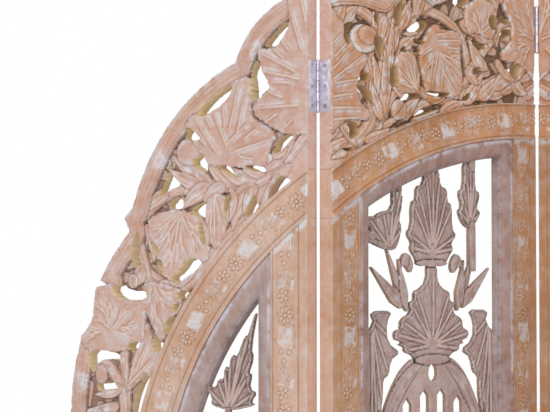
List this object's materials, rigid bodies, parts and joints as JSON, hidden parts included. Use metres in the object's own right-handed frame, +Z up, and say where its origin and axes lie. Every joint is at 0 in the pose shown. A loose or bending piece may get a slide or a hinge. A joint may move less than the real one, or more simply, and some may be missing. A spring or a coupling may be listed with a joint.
{
  "type": "folding screen",
  "caption": "Folding room divider of carved, pierced wood panels under one scalloped arch, hinged in a zigzag.",
  "frame": {"origin": "on the floor, below the centre of the screen's box as it stands in its zigzag", "axes": "+Z up, +X to the right along the line of the screen seen from the front, -Y towards the viewer in front"},
  "size_m": [1.5918, 0.3571, 1.8294],
  "materials": {
    "hinge_plate": "dull zinc plate",
    "screw_steel": "dull zinc plate",
    "pin_steel": "plain steel",
    "crest_wood": "carved mango wood, lime-washed",
    "border_wood": "carved mango wood, lime-washed",
    "jali_wood": "carved mango wood, lime-washed",
    "moulding_wood": "planed mango wood, lime-washed",
    "arch_rail_wood": "carved mango wood, lime-washed",
    "bottom_rail_wood": "planed mango wood, lime-washed",
    "stile_wood": "carved mango wood, lime-washed"
  },
  "bodies": {
    "panel_1": {"panel_1_hinge_stile": "stile_wood", "panel_1_outer_stile": "stile_wood", "panel_1_bottom_rail": "bottom_rail_wood", "panel_1_arch_rail": "arch_rail_wood", "panel_1_moulding": "moulding_wood", "panel_1_jali": "jali_wood", "panel_1_crest": "crest_wood", "panel_1_side_border": "border_wood", "hinge_1_outer_leaves": "hinge_plate", "hinge_1_outer_screws": "screw_steel"},
    "panel_2": {"panel_2_hinge_stile": "stile_wood", "panel_2_centre_stile": "stile_wood", "panel_2_bottom_rail": "bottom_rail_wood", "panel_2_arch_rail": "arch_rail_wood", "panel_2_moulding": "moulding_wood", "panel_2_jali": "jali_wood", "panel_2_crest": "crest_wood", "hinge_1_inner_leaves": "hinge_plate", "hinge_1_inner_screws": "screw_steel", "hinge_1_pins": "pin_steel", "hinge_2_left_leaves": "hinge_plate", "hinge_2_left_screws": "screw_steel", "hinge_2_pins": "pin_steel"},
    "panel_3": {"panel_3_hinge_stile": "stile_wood", "panel_3_centre_stile": "stile_wood", "panel_3_bottom_rail": "bottom_rail_wood", "panel_3_arch_rail": "arch_rail_wood", "panel_3_moulding": "moulding_wood", "panel_3_jali": "jali_wood", "panel_3_crest": "crest_wood", "hinge_3_inner_leaves": "hinge_plate", "hinge_3_inner_screws": "screw_steel", "hinge_3_pins": "pin_steel", "hinge_2_right_leaves": "hinge_plate", "hinge_2_right_screws": "screw_steel"},
    "panel_4": {"panel_4_hinge_stile": "stile_wood", "panel_4_outer_stile": "stile_wood", "panel_4_bottom_rail": "bottom_rail_wood", "panel_4_arch_rail": "arch_rail_wood", "panel_4_moulding": "moulding_wood", "panel_4_jali": "jali_wood", "panel_4_crest": "crest_wood", "panel_4_side_border": "border_wood", "hinge_3_outer_leaves": "hinge_plate", "hinge_3_outer_screws": "screw_steel"}
  },
  "joints": [
    {"name": "hinge_1", "type": "hinge", "parent": "panel_2", "child": "panel_1", "pos_m": [-0.40133, -0.15716, 0], "axis": [0, 0, 1], "range_deg": [-96.8, 83.2]},
    {"name": "hinge_2", "type": "hinge", "parent": "panel_2", "child": "panel_3", "pos_m": [0, 0.15716, 0], "axis": [0, 0, 1], "range_deg": [-96.8, 83.2]},
    {"name": "hinge_3", "type": "hinge", "parent": "panel_3", "child": "panel_4", "pos_m": [0.40133, -0.15716, 0], "axis": [0, 0, 1], "range_deg": [-83.2, 96.8]}
  ]
}
